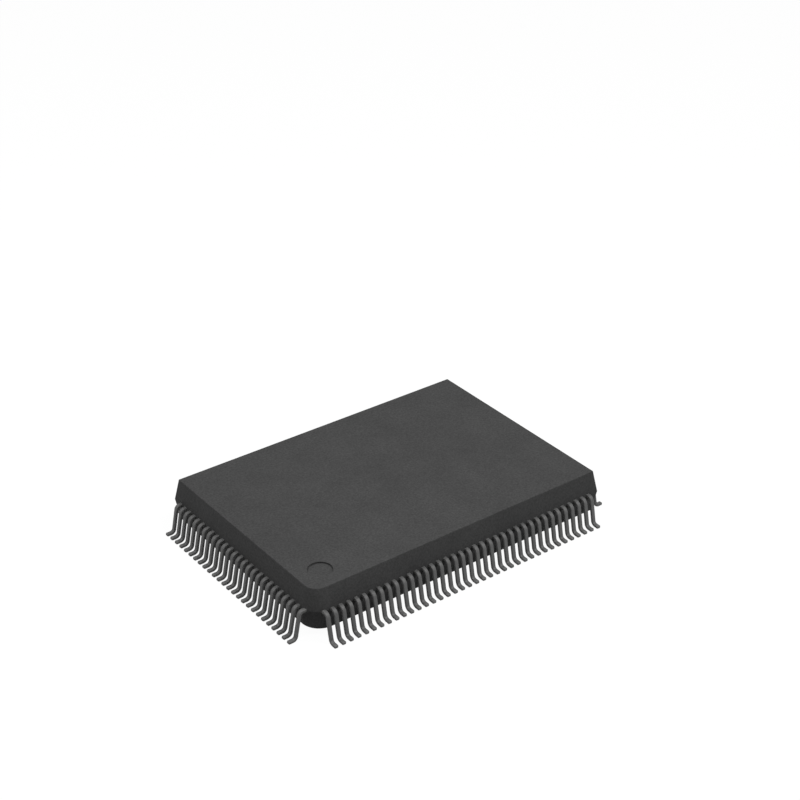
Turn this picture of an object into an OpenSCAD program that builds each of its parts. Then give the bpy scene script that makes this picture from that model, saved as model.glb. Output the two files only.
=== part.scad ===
// Quad flat pack: a moulded chip with gull-wing leads on all four sides.
// Frame: +Z up, origin on the seating plane, midway between the lead rows.
// X runs along the long side. Pin one is at the corner where X and Y are lowest.

/* [Moulded body] */
// Length of the body along X, at the parting plane
body_l = 20; // [16:0.5:28]
// Width of the body along Y, at the parting plane
body_w = 14; // [12:0.5:20]
// Thickness of the body
body_t = 2.70; // [2.3:0.05:3.2]
// Gap between the seating plane and the body's underside
standoff = 0.38; // [0.2:0.02:0.5]
// Draft of the side walls above the parting plane, in degrees
draft_top = 9.5; // [3:0.5:12]
// Draft of the side walls below the parting plane, in degrees
draft_bottom = 9; // [3:0.5:12]
// Radius of the pin-one corner above the parting plane, where it meets that plane
corner_top_r = 1.0; // [0.6:0.05:1.2]
// Radius of the pin-one corner below the parting plane, where it meets that plane
corner_low_r = 1.35; // [0.6:0.05:1.5]

/* [Pin-one mark] */
// Diameter of the round recess in the top face
mark_d = 1.4; // [0.8:0.1:2]
// Depth of the recess
mark_depth = 0.10; // [0.05:0.01:0.2]
// Distance from each body side to the centre of the recess
mark_inset = 1.68; // [1.5:0.02:2.5]

/* [Leads outside the body] */
// Spacing of the leads along a side
pitch = 0.50; // [0.5:0.05:0.8]
// Width of a lead
lead_w = 0.24; // [0.16:0.01:0.26]
// Thickness of the lead frame strip
lead_t = 0.17; // [0.12:0.01:0.2]
// Least distance from a body corner to the centre of the first lead
corner_margin = 0.75; // [0.6:0.05:1.5]
// Distance from the body side to the tip of the foot
reach = 1.10; // [1:0.05:1.8]
// Flat length of the shoulder, before the upper bend
shoulder = 0.10; // [0.05:0.01:0.2]
// Inside radius of both bends
bend_r = 0.16; // [0.08:0.01:0.2]
// Lean of the shank away from the body, in degrees
lean = 11; // [4:1:14]

/* [Lead frame inside the body] */
// Border of the die pad round the die
pad_border = 0.8; // [0.5:0.05:0.9]
// Drop of the die pad below the leads
downset = 0.30; // [0.2:0.02:0.4]
// Gap between the die pad and the finger tips
tip_gap = 0.30; // [0.2:0.02:0.4]
// Share of the spacing that a finger tip fills
tip_fill = 0.45; // [0.35:0.01:0.5]
// Length of the straight end of each finger
tip_straight = 0.45; // [0.35:0.05:0.6]
// Distance from each end of the pad to the centre of the first finger tip
tip_margin = 0.30; // [0.25:0.05:0.5]
// Length of each finger that runs straight in from the body side
root_straight = 0.25; // [0.2:0.01:0.3]
// Width of the tie bars that carry the die pad
tie_w = 0.24; // [0.16:0.02:0.26]
// Distance from the end of a tie bar to the body corner, along the bar
tie_setback = 0.7; // [0.7:0.1:1.6]

/* [Die] */
// Length of the die along X
die_l = 8.4; // [7:0.1:8.6]
// Width of the die along Y
die_w = 5.0; // [4.4:0.1:5.2]
// Thickness of the die
die_t = 0.35; // [0.25:0.01:0.4]
// Thickness of the adhesive under the die
attach_t = 0.03; // [0.02:0.01:0.06]

/* [Bond wires] */
// Thickness of a bond wire
wire_d = 0.03; // [0.025:0.005:0.04]
// Height of the wire loops above the die
loop_h = 0.20; // [0.15:0.01:0.3]
// Distance from the die edge to the bonds
bond_inset = 0.12; // [0.1:0.01:0.2]
// Distance from the finger tip to the stitch
stitch_inset = 0.20; // [0.15:0.01:0.3]
// Diameter of the ball under each wire
ball_d = 0.07; // [0.05:0.005:0.08]
// Height of the ball
ball_h = 0.02; // [0.015:0.005:0.03]

/* [Hidden] */

$fn = 48;
BEND_STEPS = 5;                               // flats along each bend of a lead
BALL_SIDES = 8;
SPARE = 1;                                    // how far a cutter runs past what it cuts

// Heights above the seating plane
body_bottom = standoff;
body_top = standoff + body_t;
parting = standoff + body_t / 2;              // the leads leave the body at this height
frame_top = parting + lead_t / 2;
frame_bottom = parting - lead_t / 2;
pad_top = frame_top - downset;
pad_bottom = pad_top - lead_t;
die_bottom = pad_top + attach_t;
die_top = die_bottom + die_t;

// How far the walls lean in over each half of the body
half_t = body_t / 2;
top_inset = half_t * tan(draft_top);
bottom_inset = half_t * tan(draft_bottom);

pad_l = die_l + 2 * pad_border;
pad_w = die_w + 2 * pad_border;

// Leads fill each side up to the corner margin
long_count = floor((body_l - 2 * corner_margin) / pitch + 0.001) + 1;
short_count = floor((body_w - 2 * corner_margin) / pitch + 0.001) + 1;

// Bends of a lead, measured outwards from the body side and up from the seating plane
outer_r = bend_r + lead_t;
mid_r = bend_r + lead_t / 2;
turn = 90 - lean;                             // each bend turns through this angle
shank_drop = parting - lead_t / 2 - 2 * mid_r * (1 - cos(turn));
heel = shoulder + 2 * mid_r * sin(turn) + shank_drop * tan(lean);
upper_bend = [shoulder, parting - mid_r];
lower_bend = [heel, lead_t / 2 + mid_r];

function row_at(i, count, step) = (i - (count - 1) / 2) * step;

function arc(centre, r, from, to) = [
    for (s = [0 : BEND_STEPS])
        let (angle = from + (to - from) * s / BEND_STEPS)
            centre + r * [cos(angle), sin(angle)]
];

// Side view of the gull wing, with a root that laps the finger
module wing_profile() {
    root = -root_straight / 2;
    polygon(concat(
        [[root, frame_top]],
        arc(upper_bend, outer_r, 90, 90 - turn),
        arc(lower_bend, bend_r, 270 - turn, 270),
        [[reach, lead_t], [reach, 0]],
        arc(lower_bend, outer_r, 270, 270 - turn),
        arc(upper_bend, bend_r, 90 - turn, 90),
        [[root, frame_bottom]]
    ));
}

module gull_wing() {
    translate([lead_w / 2, 0, 0])
        rotate([90, 0, -90])
            linear_extrude(lead_w)
                wing_profile();
}

// The part of a lead that runs in to the die pad, from just outside the body side
module finger(tip_shift, tip_w, depth) {
    right_side = [
        [lead_w / 2, -shoulder / 2],
        [lead_w / 2, root_straight],
        [tip_shift + tip_w / 2, depth - tip_straight],
        [tip_shift + tip_w / 2, depth]
    ];
    left_side = [
        [tip_shift - tip_w / 2, depth],
        [tip_shift - tip_w / 2, depth - tip_straight],
        [-lead_w / 2, root_straight],
        [-lead_w / 2, -shoulder / 2]
    ];
    translate([0, 0, frame_bottom])
        linear_extrude(lead_t)
            polygon(concat(right_side, left_side));
}

// A row of leads along X, for a body side at the distance half_span from the centre.
// The body side is at y = 0 in each lead, and outwards is -Y.
module lead_row(count, half_span, pad_side, pad_half, wings) {
    tip_step = (pad_side - 2 * tip_margin) / (count - 1);
    for (i = [0 : count - 1]) {
        root = row_at(i, count, pitch);
        translate([root, -half_span, 0]) {
            if (wings)
                gull_wing();
            finger(
                tip_shift = row_at(i, count, tip_step) - root,
                tip_w = tip_fill * tip_step,
                depth = half_span - pad_half - tip_gap
            );
        }
    }
}

module long_row(wings = true) lead_row(long_count, body_w / 2, pad_l, pad_w / 2, wings);
module short_row(wings = true) lead_row(short_count, body_l / 2, pad_w, pad_l / 2, wings);

module leads_front() color("silver") long_row();
module leads_right() color("silver") rotate(90) short_row();
module leads_rear() color("silver") rotate(180) long_row();
module leads_left() color("silver") rotate(270) short_row();

// What the leads take out of the body
module finger_pockets() {
    for (turned = [0, 180]) {
        rotate(turned)
            long_row(wings = false);
        rotate(turned + 90)
            short_row(wings = false);
    }
}

// Side view of the body, leaning in to both faces
module drafted_side(length) {
    half = length / 2;
    polygon([
        [-half, parting],
        [-half + bottom_inset, body_bottom],
        [half - bottom_inset, body_bottom],
        [half, parting],
        [half - top_inset, body_top],
        [-half + top_inset, body_top]
    ]);
}

// What is taken off the pin-one corner over the half of the body that starts at base.
// The cone left standing goes from low_r to high_r.
module corner_waste(r, base, low_r, high_r, spare_below, spare_above) {
    side = r + SPARE;
    translate([-body_l / 2 + r, -body_w / 2 + r, base])
        difference() {
            translate([-side, -side, -spare_below])
                cube([side, side, half_t + spare_below + spare_above]);
            cylinder(h = half_t, r1 = low_r, r2 = high_r);
        }
}

module top_corner_waste() corner_waste(
    corner_top_r, parting, corner_top_r, corner_top_r - top_inset,
    spare_below = 0, spare_above = SPARE
);
module low_corner_waste() corner_waste(
    corner_low_r, body_bottom, corner_low_r - bottom_inset, corner_low_r,
    spare_below = SPARE, spare_above = 0
);

module body_block() {
    difference() {
        intersection() {
            rotate([90, 0, 0])
                linear_extrude(body_w + 2 * SPARE, center = true)
                    drafted_side(body_l);
            rotate([90, 0, 90])
                linear_extrude(body_l + 2 * SPARE, center = true)
                    drafted_side(body_w);
        }
        top_corner_waste();
        low_corner_waste();
        translate([-body_l / 2 + mark_inset, -body_w / 2 + mark_inset, body_top - mark_depth])
            cylinder(h = mark_depth + SPARE, d = mark_d);
    }
}

// Everything that the moulding is cast round
module pockets() {
    finger_pockets();
    die_pad();
    die_attach();
    silicon_die();
    bond_wires_front();
    bond_wires_right();
    bond_wires_rear();
    bond_wires_left();
}

module moulded_body() color([0.2, 0.2, 0.21])
    difference() {
        body_block();
        union() pockets();
    }

// Die pad with its four tie bars, one piece of the same strip as the leads
module die_pad() color("silver") {
    translate([-pad_l / 2, -pad_w / 2, pad_bottom])
        cube([pad_l, pad_w, lead_t]);
    for (sx = [-1, 1], sy = [-1, 1])
        tie_bar(sx, sy);
}

module tie_bar(sx, sy) {
    start = [pad_l / 2, pad_w / 2];
    end = [body_l / 2, body_w / 2];
    run = norm(end - start) - tie_setback;
    bearing = atan2(sy * (end - start).y, sx * (end - start).x);
    root = tie_w;                             // how far the bar's root laps the pad
    jog_in = lead_t;
    jog_out = jog_in + downset;
    translate([sx * start.x, sy * start.y, 0])
        rotate([90, 0, bearing])
            linear_extrude(tie_w, center = true)
                polygon([
                    [-root, pad_bottom],
                    [jog_in, pad_bottom],
                    [jog_out, frame_bottom],
                    [run, frame_bottom],
                    [run, frame_top],
                    [jog_out, frame_top],
                    [jog_in, pad_top],
                    [-root, pad_top]
                ]);
}

module die_attach() color("gainsboro")
    translate([-die_l / 2, -die_w / 2, pad_top])
        cube([die_l, die_w, attach_t]);

module silicon_die() color("slategray")
    translate([-die_l / 2, -die_w / 2, die_bottom])
        cube([die_l, die_w, die_t]);

// A wire from a ball on the die to a stitch on a finger
module bond_wire(ball, stitch) {
    run = norm(stitch - ball);
    bearing = atan2(stitch.y - ball.y, stitch.x - ball.x);
    loop_top = die_top + loop_h;
    half = wire_d / 2;
    knee = 2 * wire_d;
    tail = 2 * wire_d;
    translate([ball.x, ball.y, 0]) {
        translate([0, 0, die_top])
            cylinder(h = ball_h, d = ball_d, $fn = BALL_SIDES);
        rotate([90, 0, bearing])
            linear_extrude(wire_d, center = true)
                polygon([
                    [-half, die_top],
                    [half, die_top],
                    [half, loop_top - wire_d],
                    [knee, loop_top - wire_d],
                    [run - tail, frame_top],
                    [run + tail, frame_top],
                    [run, frame_top + wire_d],
                    [knee, loop_top],
                    [-half, loop_top]
                ]);
    }
}

module wire_row(count, die_side, die_half, pad_side, pad_half) {
    bond_step = (die_side - 4 * bond_inset) / (count - 1);
    tip_step = (pad_side - 2 * tip_margin) / (count - 1);
    for (i = [0 : count - 1])
        bond_wire(
            [row_at(i, count, bond_step), bond_inset - die_half],
            [row_at(i, count, tip_step), -(pad_half + tip_gap + stitch_inset)]
        );
}

module long_wires() wire_row(long_count, die_l, die_w / 2, pad_l, pad_w / 2);
module short_wires() wire_row(short_count, die_w, die_l / 2, pad_w, pad_l / 2);

module bond_wires_front() color("gold") long_wires();
module bond_wires_right() color("gold") rotate(90) short_wires();
module bond_wires_rear() color("gold") rotate(180) long_wires();
module bond_wires_left() color("gold") rotate(270) short_wires();

moulded_body();
leads_front();
leads_right();
leads_rear();
leads_left();
die_pad();
die_attach();
silicon_die();
bond_wires_front();
bond_wires_right();
bond_wires_rear();
bond_wires_left();
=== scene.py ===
import math

import bmesh
import bpy
from bpy.props import FloatProperty, FloatVectorProperty, IntProperty, PointerProperty
from mathutils import Matrix, Vector


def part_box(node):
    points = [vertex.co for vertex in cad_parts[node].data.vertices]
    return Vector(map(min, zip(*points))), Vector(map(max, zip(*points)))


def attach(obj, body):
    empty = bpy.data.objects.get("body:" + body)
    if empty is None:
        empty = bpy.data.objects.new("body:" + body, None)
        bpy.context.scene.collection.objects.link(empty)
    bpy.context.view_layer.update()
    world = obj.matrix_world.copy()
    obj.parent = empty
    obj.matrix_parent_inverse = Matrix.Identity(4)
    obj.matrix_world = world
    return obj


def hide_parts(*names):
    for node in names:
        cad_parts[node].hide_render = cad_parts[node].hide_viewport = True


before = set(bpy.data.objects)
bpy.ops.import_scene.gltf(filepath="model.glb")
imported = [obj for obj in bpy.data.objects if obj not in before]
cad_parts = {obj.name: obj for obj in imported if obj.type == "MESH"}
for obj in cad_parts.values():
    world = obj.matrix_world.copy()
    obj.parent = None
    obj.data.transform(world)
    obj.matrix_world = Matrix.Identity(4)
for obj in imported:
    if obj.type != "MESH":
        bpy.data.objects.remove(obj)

bl_info = {
    "name": "Quad flat pack chip",
    "version": (1, 0, 0),
    "blender": (4, 5, 0),
    "location": "View3D > Sidebar > Chip",
    "description": "Dresses a moulded chip with fine gull-wing leads on four sides",
    "category": "Object",
}

MM = 0.001
SHARP = math.radians(50)                      # edges that turn further than this stay crisp
SOFTENED = math.radians(30)                   # body edges that turn further get a radius
TOUCHING = 1e-7                               # points closer than this are one point
CORNER_FACETS = 16                            # flats along the pin-one corner
MARK_FACETS = 48                              # flats round the pin-one recess
RADIUS_FACETS = 3                             # flats across a softened body edge
PLATING_FACETS = 2                            # flats across a rounded lead edge
FOOT_TIP = (0.7, 1, 0.6)                      # how much of a foot's section its tip keeps
BROAD_PER_MM = 0.45                           # patches of broad mottling in a millimetre
FLOOR_GREY = (0.35, 0.35, 0.35, 1)            # the floor as the light finds it
FLOOR_WHITE = 1.2                             # the white that the floor is seen with
FLOOR_SHARE = 0.8                             # share of that white in what is seen
SENSOR = 36                                   # width of the camera's sensor in millimetres
CLIPPING = 50                                 # times nearer and further than the chip
SQUARE = math.radians(90)

# The measures of the parts in model.glb, in metres
BODY_LOW, BODY_HIGH = (Vector(corner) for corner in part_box("moulded_body"))
ROW_LOW, ROW_HIGH = (Vector(corner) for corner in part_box("leads_front"))
SIDE_ROW_LOW, SIDE_ROW_HIGH = (Vector(corner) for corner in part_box("leads_right"))
DIE_LOW, DIE_HIGH = (Vector(corner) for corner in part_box("silicon_die"))
BODY = BODY_HIGH - BODY_LOW
DIE = DIE_HIGH - DIE_LOW
PARTING = (BODY_LOW.z + BODY_HIGH.z) / 2
STRIP = 2 * (ROW_HIGH.z - PARTING)            # thickness of the lead frame
REACH = BODY_LOW.y - ROW_LOW.y                # from the body side to the tip of a foot


# Settings

class BodySettings(bpy.types.PropertyGroup):
    """Walls, corner, recess and colour of the moulded body"""
    top_draft: FloatProperty(
        name="Top draft", description="Lean of the walls above the parting plane",
        default=math.radians(9.5), subtype="ANGLE")
    bottom_draft: FloatProperty(
        name="Bottom draft", description="Lean of the walls below the parting plane",
        default=math.radians(9), subtype="ANGLE")
    top_corner: FloatProperty(
        name="Upper pin-one corner", description="Radius just above the parting plane",
        default=1.0 * MM, unit="LENGTH", precision=5)
    low_corner: FloatProperty(
        name="Lower pin-one corner", description="Radius just below the parting plane",
        default=1.35 * MM, unit="LENGTH", precision=5)
    edge_radius: FloatProperty(
        name="Edge radius", description="Radius left on the edges by the mould",
        default=0.035 * MM, unit="LENGTH", precision=5)
    mark_diameter: FloatProperty(
        name="Mark diameter", description="Diameter of the pin-one recess",
        default=1.4 * MM, unit="LENGTH", precision=5)
    mark_depth: FloatProperty(
        name="Mark depth", description="Depth of the pin-one recess",
        default=0.10 * MM, unit="LENGTH", precision=5)
    mark_inset: FloatProperty(
        name="Mark inset", description="Distance of the recess from both body sides",
        default=1.68 * MM, unit="LENGTH", precision=5)
    colour: FloatVectorProperty(
        name="Compound", description="Colour of the moulding compound",
        default=(0.073, 0.073, 0.073), subtype="COLOR", min=0, max=1)


class LeadSettings(bpy.types.PropertyGroup):
    """The leads outside the body and their plating"""
    pitch: FloatProperty(
        name="Spacing", description="Distance from one lead to the next",
        default=0.5 * MM, unit="LENGTH", precision=5)
    width: FloatProperty(
        name="Width", description="Width of a lead",
        default=0.24 * MM, unit="LENGTH", precision=5)
    shoulder: FloatProperty(
        name="Shoulder", description="Flat length before the upper bend",
        default=0.10 * MM, unit="LENGTH", precision=5)
    bend_radius: FloatProperty(
        name="Bend radius", description="Inside radius of both bends",
        default=0.16 * MM, unit="LENGTH", precision=5)
    lean: FloatProperty(
        name="Lean", description="Lean of the shank away from the body",
        default=math.radians(11), subtype="ANGLE")
    edge_round: FloatProperty(
        name="Edge round", description="How far plating and etching round off each edge",
        default=0.045 * MM, unit="LENGTH", precision=5)
    bend_steps: IntProperty(
        name="Bend steps", description="Flats along each bend", default=8, min=2, max=16)
    # The plating grey is partly the tin's own colour and partly painted shade: it is kept as dark
    # as the leads look where they sit in shade, while the bare tin is lighter.
    colour: FloatVectorProperty(
        name="Plating and painted shade", description="Colour of the dull tin plating",
        default=(0.147, 0.147, 0.146), subtype="COLOR", min=0, max=1)


class FingerSettings(bpy.types.PropertyGroup):
    """The leads inside the body, which fan in to the die pad"""
    root_straight: FloatProperty(
        name="Straight root", description="Length that runs straight in from the body side",
        default=0.25 * MM, unit="LENGTH", precision=5)
    tip_straight: FloatProperty(
        name="Straight tip", description="Length of the straight end by the die pad",
        default=0.45 * MM, unit="LENGTH", precision=5)
    pad_border: FloatProperty(
        name="Pad border", description="Border of the die pad round the die",
        default=0.8 * MM, unit="LENGTH", precision=5)
    tip_margin: FloatProperty(
        name="Tip margin", description="Distance from the pad's end to the first finger tip",
        default=0.30 * MM, unit="LENGTH", precision=5)
    tip_fill: FloatProperty(
        name="Tip fill", description="Share of the spacing that a finger tip fills",
        default=0.45, min=0.1, max=0.9, subtype="FACTOR")


class StageSettings(bpy.types.PropertyGroup):
    """Camera, lamps and floor"""
    azimuth: FloatProperty(
        name="Azimuth", description="Direction of the camera round the chip",
        default=math.radians(-36.92), subtype="ANGLE")
    elevation: FloatProperty(
        name="Elevation", description="Height of the camera above the horizon",
        default=math.radians(30.01), subtype="ANGLE")
    distance: FloatProperty(
        name="Distance", description="Distance from the camera to the point it is aimed at",
        default=110.9 * MM, unit="LENGTH", precision=4)
    aim: FloatVectorProperty(
        name="Aim", description="Point the camera is aimed at",
        default=(7.357 * MM, 8.52 * MM, 1.57 * MM), subtype="XYZ", unit="LENGTH", precision=5)
    lens: FloatProperty(
        name="Lens", description="Focal length of the camera", default=78.8, unit="CAMERA")
    key_place: FloatVectorProperty(
        name="Key lamp place", description="Where the lamp in front of the long side hangs",
        default=(30 * MM, -55 * MM, 100 * MM), subtype="XYZ", unit="LENGTH", precision=4)
    key_power: FloatProperty(
        name="Key lamp", description="Power of the lamp in front of the long side",
        default=0.069, unit="POWER")
    side_place: FloatVectorProperty(
        name="Side lamp place", description="Where the lamp to the left of the chip hangs",
        default=(-55 * MM, 30 * MM, 100 * MM), subtype="XYZ", unit="LENGTH", precision=4)
    side_power: FloatProperty(
        name="Side lamp", description="Power of the lamp to the left of the chip",
        default=0.047, unit="POWER")
    lamp_size: FloatProperty(
        name="Lamp size", description="Diameter of both lamps",
        default=50 * MM, unit="LENGTH", precision=4)
    fill: FloatProperty(
        name="Fill", description="Strength of the light from all round", default=0.20)
    floor_side: FloatProperty(
        name="Floor", description="Side of the square floor",
        default=1200 * MM, unit="LENGTH", precision=4)
    floor_gap: FloatProperty(
        name="Floor gap", description="Distance of the floor below the soles",
        default=0.01 * MM, unit="LENGTH", precision=6)


# Mesh helpers

def region(face):
    """A face with its edges and vertices, as the sweeping operators want it."""
    return [face, *face.edges, *face.verts]


def drop_joint(bm, face, closed_a_length):
    """Deletes the face that a sweep went on from, where it would stay inside the piece."""
    if closed_a_length and face.is_valid:
        bmesh.ops.delete(bm, geom=[face], context="FACES_ONLY")


def push(bm, face, step, grow=(1, 1, 1)):
    """Extrudes a face by a step, scales the new end about its middle and returns it."""
    closed_a_length = face.edges[0].is_manifold
    made = bmesh.ops.extrude_face_region(bm, geom=[face])["geom"]
    end = next(part for part in made if isinstance(part, bmesh.types.BMFace))
    drop_joint(bm, face, closed_a_length)
    bmesh.ops.translate(bm, vec=step, verts=end.verts)
    middle = end.calc_center_median()
    bmesh.ops.scale(bm, vec=grow, space=Matrix.Translation(-middle), verts=end.verts)
    return end


def turn(bm, face, centre, angle, steps):
    """Sweeps a face round a bend whose axis runs along X, and returns its new end."""
    closed_a_length = face.edges[0].is_manifold
    made = bmesh.ops.spin(
        bm, geom=region(face), cent=centre, axis=(1, 0, 0), angle=angle, steps=steps)
    drop_joint(bm, face, closed_a_length)
    return next(part for part in made["geom_last"] if isinstance(part, bmesh.types.BMFace))


def finish_piece(name, bm, material, nodes):
    """Makes a piece of a bmesh, gives it its material, hangs it on the root and hides the CAD
    parts it stands in for.
    """
    bmesh.ops.recalc_face_normals(bm, faces=bm.faces)
    bm.normal_update()
    for face in bm.faces:
        face.smooth = True
    for edge in bm.edges:
        edge.smooth = edge.calc_face_angle() < SHARP
    mesh = bpy.data.meshes.new(name)
    bm.to_mesh(mesh)
    bm.free()
    mesh.materials.append(material)
    piece = bpy.data.objects.new(name, mesh)
    bpy.context.scene.collection.objects.link(piece)
    even = piece.modifiers.new("Even shading", "WEIGHTED_NORMAL")
    even.mode = "FACE_AREA"
    even.weight = 100                         # the largest faces decide
    even.keep_sharp = True
    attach(piece, "root")
    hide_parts(*nodes)


# Moulded body

def parting_outline(bm, radius, split_at=None):
    """The body's outline at the parting plane as one face, with the pin-one corner round.

    The two sides that meet at that corner are split at the given distance from it.
    """
    before = set(bm.faces)
    made = bmesh.ops.create_grid(bm, x_segments=1, y_segments=1, size=0.5)["verts"]
    bmesh.ops.scale(bm, vec=(BODY.x, BODY.y, 1), verts=made)
    bmesh.ops.translate(bm, vec=(0, 0, PARTING), verts=made)
    pin_one = min(made, key=lambda vert: vert.co.x + vert.co.y)
    if split_at:
        for side in list(pin_one.link_edges):
            bmesh.utils.edge_split(side, pin_one, split_at / side.calc_length())
    bmesh.ops.bevel(
        bm, geom=[pin_one], offset=radius, segments=CORNER_FACETS, profile=0.5,
        affect="VERTICES", material=-1)
    return next(face for face in bm.faces if face not in before)


def raise_half(bm, outline, draft):
    """Raises one half of the body from its outline, leaning in by the draft."""
    height = BODY.z / 2
    bmesh.ops.inset_region(
        bm, faces=[outline], thickness=height * math.tan(draft), depth=height,
        use_boundary=True, use_even_offset=True)


def sink_mark(bm, top, body):
    """Cuts the round pin-one recess into the top face and returns its edges."""
    rim = list(top.edges)
    bmesh.ops.delete(bm, geom=[top], context="FACES_ONLY")
    place = Matrix.Translation((
        BODY_LOW.x + body.mark_inset, BODY_LOW.y + body.mark_inset, BODY_HIGH.z))
    ring = bmesh.ops.create_circle(
        bm, cap_ends=False, segments=MARK_FACETS, radius=body.mark_diameter / 2,
        matrix=place)["verts"]
    mouth = list({edge for vert in ring for edge in vert.link_edges})
    bmesh.ops.triangle_fill(bm, use_beauty=True, edges=rim + mouth, normal=(0, 0, 1))
    made = bmesh.ops.extrude_edge_only(bm, edges=mouth)["geom"]
    foot = [part for part in made if isinstance(part, bmesh.types.BMEdge)]
    bmesh.ops.translate(
        bm, vec=(0, 0, -body.mark_depth),
        verts=[part for part in made if isinstance(part, bmesh.types.BMVert)])
    bmesh.ops.contextual_create(bm, geom=foot)
    return {edge for vert in ring for edge in vert.link_edges} | set(foot)


class CHIP_OT_moulded_body(bpy.types.Operator):
    """Mould the body: drafted walls, pin-one corner, pin-one recess and softened edges"""
    bl_idname = "chip.moulded_body"
    bl_label = "Moulded body"

    def execute(self, context):
        body = context.scene.chip_body
        bm = bmesh.new()
        top = parting_outline(bm, body.top_corner, split_at=body.low_corner)
        bottom = parting_outline(bm, body.low_corner)
        bmesh.ops.reverse_faces(bm, faces=[bottom])
        raise_half(bm, top, body.top_draft)
        raise_half(bm, bottom, body.bottom_draft)
        bmesh.ops.remove_doubles(bm, verts=bm.verts, dist=TOUCHING)

        # The halves differ only at the pin-one corner, where this closes the ledge between them
        ledge = [edge for edge in bm.edges if edge.is_boundary]
        bmesh.ops.contextual_create(bm, geom=ledge)
        mark = sink_mark(bm, top, body)

        # The parting line and the recess stay crisp, and the other sharp edges are softened
        bmesh.ops.recalc_face_normals(bm, faces=bm.faces)
        bm.normal_update()
        softened = [edge for edge in bm.edges
                    if edge not in mark and edge.calc_face_angle() > SOFTENED
                    and any(abs(vert.co.z - PARTING) > TOUCHING for vert in edge.verts)]
        bmesh.ops.bevel(
            bm, geom=softened, offset=body.edge_radius, segments=RADIUS_FACETS, profile=0.5,
            affect="EDGES", material=-1, clamp_overlap=True)
        finish_piece("moulded_case", bm, mould_compound(body.colour),
                     ["moulded_body"])
        return {"FINISHED"}


# Leads

def lead_section(bm, settings, share):
    """A lead's section as one upright face at the origin, with a share of its full width."""
    before = set(bm.faces)
    section = bmesh.ops.create_grid(bm, x_segments=1, y_segments=1, size=0.5)["verts"]
    bmesh.ops.scale(bm, vec=(settings.width, STRIP, 1), verts=section)
    bmesh.ops.rotate(bm, matrix=Matrix.Rotation(SQUARE, 3, "X"), verts=section)
    bmesh.ops.bevel(
        bm, geom=section, offset=settings.edge_round, segments=PLATING_FACETS, profile=0.5,
        affect="VERTICES", material=-1)
    end = next(face for face in bm.faces if face not in before)
    bmesh.ops.scale(bm, vec=(share, 1, 1), verts=end.verts)
    return end


def draw_finger(bm, end, settings, finger, tip_shift, share, depth):
    """Draws a lead from its tip by the die pad to the end of its shoulder."""
    slant = depth - finger.root_straight - finger.tip_straight
    bmesh.ops.translate(bm, vec=(tip_shift, depth, PARTING), verts=end.verts)
    end = push(bm, end, (0, -finger.tip_straight, 0))
    end = push(bm, end, (-tip_shift, -slant, 0), grow=(1 / share, 1, 1))
    return push(bm, end, (0, -finger.root_straight - settings.shoulder, 0))


def form_wing(bm, end, settings):
    """Forms a lead's upper bend, shank, lower bend and foot."""
    middle_radius = settings.bend_radius + STRIP / 2
    bend = SQUARE - settings.lean
    drop = PARTING - STRIP / 2 - 2 * middle_radius * (1 - math.cos(bend))
    centre = end.calc_center_median() - Vector((0, 0, middle_radius))
    end = turn(bm, end, centre, bend, settings.bend_steps)
    end = push(bm, end, (0, -drop * math.tan(settings.lean), -drop))
    across = Vector((0, -math.sin(bend), math.cos(bend)))
    centre = end.calc_center_median() + middle_radius * across
    end = turn(bm, end, centre, -bend, settings.bend_steps)
    foot = REACH + end.calc_center_median().y - settings.edge_round
    end = push(bm, end, (0, -foot, 0))
    push(bm, end, (0, -settings.edge_round, 0), grow=FOOT_TIP)


def lead(bm, settings, finger, tip_shift, tip_width, depth):
    """Makes one lead and returns its vertices.

    The body side is at y = 0, outwards is -Y and depth is how far in the tip lies.
    """
    before = set(bm.verts)
    share = tip_width / settings.width
    end = lead_section(bm, settings, share)
    end = draw_finger(bm, end, settings, finger, tip_shift, share, depth)
    form_wing(bm, end, settings)
    return [vert for vert in bm.verts if vert not in before]


def lead_row(bm, settings, finger, span, half_span, inner_edge, pad_side):
    """Makes all the leads of a side that faces -Y, with finger tips along the die pad."""
    count = round((span - settings.width) / settings.pitch) + 1
    tip_step = (pad_side - 2 * finger.tip_margin) / (count - 1)
    for number in range(count):
        place = number - (count - 1) / 2
        made = lead(
            bm, settings, finger,
            tip_shift=place * (tip_step - settings.pitch),
            tip_width=finger.tip_fill * tip_step,
            depth=half_span - inner_edge)
        bmesh.ops.translate(bm, vec=(place * settings.pitch, -half_span, 0), verts=made)


class CHIP_OT_lead_rows(bpy.types.Operator):
    """Form and plate the four rows of gull-wing leads"""
    bl_idname = "chip.lead_rows"
    bl_label = "Lead rows"

    def execute(self, context):
        settings = context.scene.chip_leads
        finger = context.scene.chip_fingers
        material = tin_plating_and_painted_shade(settings.colour)
        long_side = {
            "span": ROW_HIGH.x - ROW_LOW.x, "half_span": BODY.y / 2,
            "inner_edge": -ROW_HIGH.y, "pad_side": DIE.x + 2 * finger.pad_border}
        short_side = {
            "span": SIDE_ROW_HIGH.y - SIDE_ROW_LOW.y, "half_span": BODY.x / 2,
            "inner_edge": SIDE_ROW_LOW.x, "pad_side": DIE.y + 2 * finger.pad_border}
        sides = [("leads_front", long_side), ("leads_right", short_side),
                 ("leads_rear", long_side), ("leads_left", short_side)]
        for quarter_turns, (name, side) in enumerate(sides):
            bm = bmesh.new()
            lead_row(bm, settings, finger, **side)
            facing = Matrix.Rotation(SQUARE * quarter_turns, 3, "Z")
            bmesh.ops.rotate(bm, matrix=facing, verts=bm.verts)
            finish_piece(name + "_plated", bm, material, [name])
        return {"FINISHED"}


# Materials

def add_socket(group, name, direction, kind="NodeSocketFloat", default=None):
    """Adds one named socket to a node group."""
    socket = group.interface.new_socket(name, in_out=direction, socket_type=kind)
    if default is not None:
        socket.default_value = default


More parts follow.
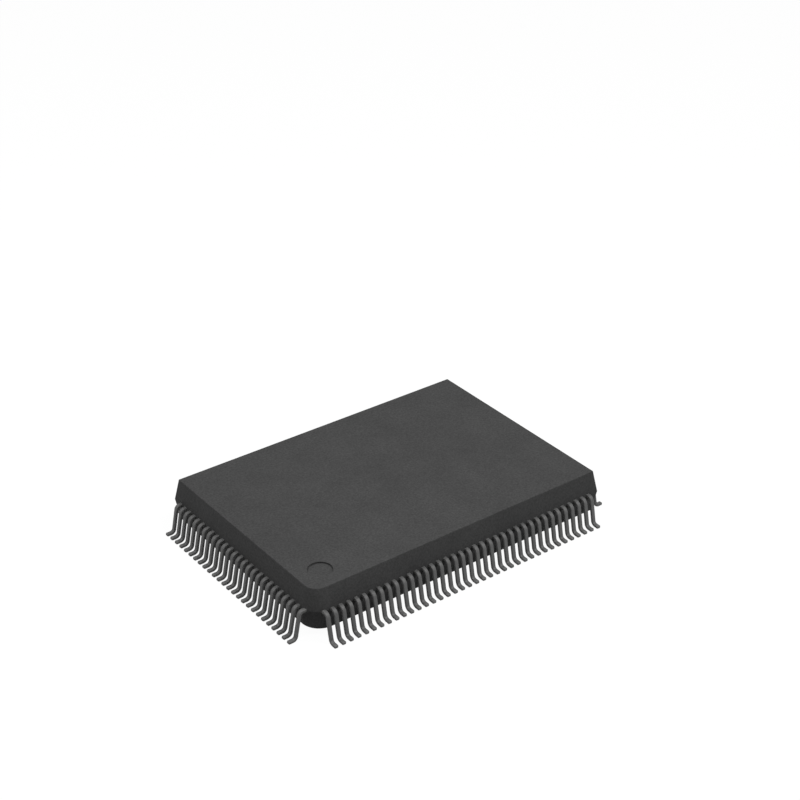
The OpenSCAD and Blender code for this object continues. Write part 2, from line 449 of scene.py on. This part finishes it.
def worked_out(tree, operation, *values):
    """The result of a Math node whose inputs are sockets or plain numbers."""
    node = tree.nodes.new("ShaderNodeMath")
    node.operation = operation
    for slot, value in zip(node.inputs, values):
        if isinstance(value, bpy.types.NodeSocket):
            tree.links.new(value, slot)
        else:
            slot.default_value = value
    return node.outputs[0]


def swing(tree, fac, amount):
    """1 less an amount where a noise factor is a quarter, and 1 more at three quarters."""
    centred = worked_out(tree, "MULTIPLY_ADD", fac, 4, -2)
    return worked_out(tree, "MULTIPLY_ADD", centred, amount, 1)


def grain_group():
    """Fine grain and broad mottling on a surface: colour, roughness and normal."""
    name = "surface_grain"
    if name in bpy.data.node_groups:
        return bpy.data.node_groups[name]
    group = bpy.data.node_groups.new(name, "ShaderNodeTree")
    add_socket(group, "Colour", "INPUT", "NodeSocketColor", (0.5, 0.5, 0.5, 1))
    add_socket(group, "Grain per mm", "INPUT", default=15)
    add_socket(group, "Grain height", "INPUT", default=0.002)
    add_socket(group, "Speckle", "INPUT", default=0.1)
    add_socket(group, "Mottling", "INPUT", default=0.1)
    add_socket(group, "Roughness", "INPUT", default=0.5)
    add_socket(group, "Roughness spread", "INPUT", default=0.1)
    add_socket(group, "Colour", "OUTPUT", "NodeSocketColor")
    add_socket(group, "Roughness", "OUTPUT")
    add_socket(group, "Normal", "OUTPUT", "NodeSocketVector")
    nodes, links = group.nodes, group.links
    given = nodes.new("NodeGroupInput").outputs
    result = nodes.new("NodeGroupOutput").inputs
    place = nodes.new("ShaderNodeTexCoord").outputs["Object"]

    grain = nodes.new("ShaderNodeTexNoise")
    grain.inputs["Detail"].default_value = 3
    grain.inputs["Roughness"].default_value = 0.65
    links.new(place, grain.inputs["Vector"])
    per_metre = worked_out(group, "MULTIPLY", given["Grain per mm"], 1 / MM)
    links.new(per_metre, grain.inputs["Scale"])
    broad = nodes.new("ShaderNodeTexNoise")
    broad.inputs["Scale"].default_value = BROAD_PER_MM / MM
    broad.inputs["Detail"].default_value = 4
    links.new(place, broad.inputs["Vector"])

    speckled = swing(group, grain.outputs["Fac"], given["Speckle"])
    mottled = swing(group, broad.outputs["Fac"], given["Mottling"])
    tint = nodes.new("ShaderNodeVectorMath")
    tint.operation = "SCALE"
    links.new(given["Colour"], tint.inputs[0])
    links.new(worked_out(group, "MULTIPLY", speckled, mottled), tint.inputs["Scale"])
    links.new(tint.outputs["Vector"], result["Colour"])

    spread = swing(group, broad.outputs["Fac"], given["Roughness spread"])
    rough = worked_out(group, "MULTIPLY", given["Roughness"], spread)
    links.new(rough, result["Roughness"])

    bump = nodes.new("ShaderNodeBump")
    bump.inputs["Strength"].default_value = 1
    height = worked_out(group, "MULTIPLY", given["Grain height"], MM)
    links.new(height, bump.inputs["Distance"])
    links.new(grain.outputs["Fac"], bump.inputs["Height"])
    links.new(bump.outputs["Normal"], result["Normal"])
    return group


def grained(name, colour, metallic, specular, grain):
    """A material of one colour, with values for the grain group's inputs."""
    material = bpy.data.materials.new(name)
    material.use_nodes = True
    nodes, links = material.node_tree.nodes, material.node_tree.links
    surface = nodes["Principled BSDF"]
    surface.inputs["Metallic"].default_value = metallic
    surface.inputs["Specular IOR Level"].default_value = specular
    group = nodes.new("ShaderNodeGroup")
    group.node_tree = grain_group()
    group.inputs["Colour"].default_value = (*colour, 1)
    for label, value in grain.items():
        group.inputs[label].default_value = value
    links.new(group.outputs["Colour"], surface.inputs["Base Color"])
    links.new(group.outputs["Roughness"], surface.inputs["Roughness"])
    links.new(group.outputs["Normal"], surface.inputs["Normal"])
    return material


def mould_compound(colour):
    return grained("mould_compound", colour, 0, 0.03, {
        "Grain per mm": 9, "Grain height": 0.008, "Speckle": 0.25, "Mottling": 0.10,
        "Roughness": 0.62, "Roughness spread": 0.06})


# Tin plating whose grey is darker than the tin itself; the extra darkness is painted shade for
# the leads.
def tin_plating_and_painted_shade(colour):
    return grained("tin_plating_and_painted_shade", colour, 0.2, 0.15, {
        "Grain per mm": 25, "Grain height": 0.0015, "Speckle": 0.14, "Mottling": 0.08,
        "Roughness": 0.58, "Roughness spread": 0.10})


def copper_strip():
    return grained("copper_strip", (0.72, 0.43, 0.30), 1, 0.5, {
        "Grain per mm": 20, "Grain height": 0.001, "Speckle": 0.06, "Mottling": 0.08,
        "Roughness": 0.35, "Roughness spread": 0.15})


def silver_epoxy():
    return grained("silver_epoxy", (0.62, 0.62, 0.60), 0.6, 0.5, {
        "Grain per mm": 40, "Grain height": 0.003, "Speckle": 0.15, "Mottling": 0.05,
        "Roughness": 0.5, "Roughness spread": 0.1})


def polished_silicon():
    return grained("polished_silicon", (0.20, 0.21, 0.24), 0.3, 0.5, {
        "Grain per mm": 10, "Grain height": 0.0002, "Speckle": 0.12, "Mottling": 0.04,
        "Roughness": 0.12, "Roughness spread": 0.1})


def gold_wire():
    return grained("gold_wire", (0.90, 0.68, 0.28), 1, 0.5, {
        "Grain per mm": 60, "Grain height": 0.0005, "Speckle": 0.03, "Mottling": 0.03,
        "Roughness": 0.2, "Roughness spread": 0.1})


class CHIP_OT_inner_finishes(bpy.types.Operator):
    """Give the pieces sealed in the moulding their finishes"""
    bl_idname = "chip.inner_finishes"
    bl_label = "Inner finishes"

    def execute(self, context):
        wires = gold_wire()
        finishes = {"die_pad": copper_strip(), "die_attach": silver_epoxy(),
                    "silicon_die": polished_silicon()}
        for side in ("front", "right", "rear", "left"):
            finishes["bond_wires_" + side] = wires
        for node, material in finishes.items():
            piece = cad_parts[node]
            for slot in piece.material_slots:
                slot.material = material
        return {"FINISHED"}


# Stage

def seen_share(tree, share):
    """A factor that is the given share for what the camera and shiny surfaces see, else 0."""
    rays = tree.nodes.new("ShaderNodeLightPath").outputs
    seen = rays["Is Camera Ray"]
    for kind in ("Is Glossy Ray", "Is Transmission Ray"):
        seen = worked_out(tree, "MAXIMUM", seen, rays[kind])
    return worked_out(tree, "MULTIPLY", seen, share)


def mixed(tree, share, unseen, seen):
    """Mixes the shader that lights the chip with the one that is seen, by seen_share."""
    mix = tree.nodes.new("ShaderNodeMixShader")
    tree.links.new(seen_share(tree, share), mix.inputs["Fac"])
    tree.links.new(unseen, mix.inputs[1])
    tree.links.new(seen, mix.inputs[2])
    return mix.outputs["Shader"]


def floor_material():
    """Pale paper that looks almost white and still takes the chip's shadow."""
    material = bpy.data.materials.new("stage_floor")
    material.use_nodes = True
    tree = material.node_tree
    paper = tree.nodes["Principled BSDF"]
    paper.inputs["Base Color"].default_value = FLOOR_GREY
    paper.inputs["Roughness"].default_value = 0.9
    paper.inputs["Specular IOR Level"].default_value = 0
    white = tree.nodes.new("ShaderNodeEmission")
    white.inputs["Strength"].default_value = FLOOR_WHITE
    surface = mixed(tree, FLOOR_SHARE, paper.outputs["BSDF"], white.outputs["Emission"])
    tree.links.new(surface, tree.nodes["Material Output"].inputs["Surface"])
    return material


def light_the_world(fill):
    """Even light from all round, in front of a white that is only seen."""
    world = bpy.context.scene.world or bpy.data.worlds.new("World")
    bpy.context.scene.world = world
    world.use_nodes = True
    tree = world.node_tree
    around = tree.nodes["Background"]
    around.inputs["Color"].default_value = (1, 1, 1, 1)
    around.inputs["Strength"].default_value = fill
    white = tree.nodes.new("ShaderNodeBackground")
    white.inputs["Color"].default_value = (1, 1, 1, 1)
    surface = mixed(tree, 1, around.outputs["Background"], white.outputs["Background"])
    tree.links.new(surface, tree.nodes["World Output"].inputs["Surface"])


def lay_floor(stage):
    bm = bmesh.new()
    bmesh.ops.create_grid(bm, x_segments=1, y_segments=1, size=stage.floor_side / 2)
    bmesh.ops.translate(bm, vec=(0, 0, -stage.floor_gap), verts=bm.verts)
    mesh = bpy.data.meshes.new("floor")
    bm.to_mesh(mesh)
    bm.free()
    mesh.materials.append(floor_material())
    floor = bpy.data.objects.new("floor", mesh)
    bpy.context.scene.collection.objects.link(floor)


def aimed(thing, name, place, towards):
    """Places a lamp or camera so that it looks in a direction."""
    holder = bpy.data.objects.new(name, thing)
    holder.location = place
    holder.rotation_mode = "QUATERNION"
    holder.rotation_quaternion = towards.to_track_quat("-Z", "Y")
    bpy.context.scene.collection.objects.link(holder)
    return holder


def hang_lamp(name, place, size, power):
    lamp = bpy.data.lights.new(name, "AREA")
    lamp.shape = "DISK"
    lamp.size = size
    lamp.energy = power
    aimed(lamp, name, place, -Vector(place))


def add_camera(stage):
    lens = bpy.data.cameras.new("camera")
    lens.sensor_width = SENSOR
    lens.lens = stage.lens
    lens.clip_start = stage.distance / CLIPPING
    lens.clip_end = stage.distance * CLIPPING
    back = Vector((
        math.sin(stage.azimuth) * math.cos(stage.elevation),
        -math.cos(stage.azimuth) * math.cos(stage.elevation),
        math.sin(stage.elevation)))
    place = Vector(stage.aim) + back * stage.distance
    bpy.context.scene.camera = aimed(lens, "camera", place, -back)


class CHIP_OT_stage(bpy.types.Operator):
    """Lay the pale floor, hang the two soft lamps and place the camera"""
    bl_idname = "chip.stage"
    bl_label = "Stage"

    def execute(self, context):
        stage = context.scene.chip_stage
        lay_floor(stage)
        light_the_world(stage.fill)
        hang_lamp("front_lamp", stage.key_place, stage.lamp_size, stage.key_power)
        hang_lamp("left_lamp", stage.side_place, stage.lamp_size, stage.side_power)
        add_camera(stage)
        context.scene.view_settings.view_transform = "Standard"
        return {"FINISHED"}


class CHIP_PT_parts(bpy.types.Panel):
    """The chip's parts and settings"""
    bl_idname = "CHIP_PT_parts"
    bl_label = "Quad flat pack chip"
    bl_space_type = "VIEW_3D"
    bl_region_type = "UI"
    bl_category = "Chip"

    def draw(self, context):
        layout = self.layout
        scene = context.scene
        for settings in (scene.chip_body, scene.chip_leads, scene.chip_fingers, scene.chip_stage):
            box = layout.box()
            for label in settings.bl_rna.properties.keys():
                if label not in ("rna_type", "name"):
                    box.prop(settings, label)
        for operator in OPERATORS:
            layout.operator(operator.bl_idname)


GROUPS = {
    "chip_body": BodySettings,
    "chip_leads": LeadSettings,
    "chip_fingers": FingerSettings,
    "chip_stage": StageSettings,
}
OPERATORS = (CHIP_OT_moulded_body, CHIP_OT_lead_rows, CHIP_OT_inner_finishes, CHIP_OT_stage)
CLASSES = (*GROUPS.values(), *OPERATORS, CHIP_PT_parts)


def register():
    for each in CLASSES:
        bpy.utils.register_class(each)
    for label, settings in GROUPS.items():
        setattr(bpy.types.Scene, label, PointerProperty(type=settings))


def unregister():
    for label in GROUPS:
        delattr(bpy.types.Scene, label)
    for each in reversed(CLASSES):
        bpy.utils.unregister_class(each)


def main():
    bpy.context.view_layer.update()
    register()
    bpy.ops.chip.moulded_body()
    bpy.ops.chip.lead_rows()
    bpy.ops.chip.inner_finishes()
    bpy.ops.chip.stage()


if __name__ == "__main__":
    main()
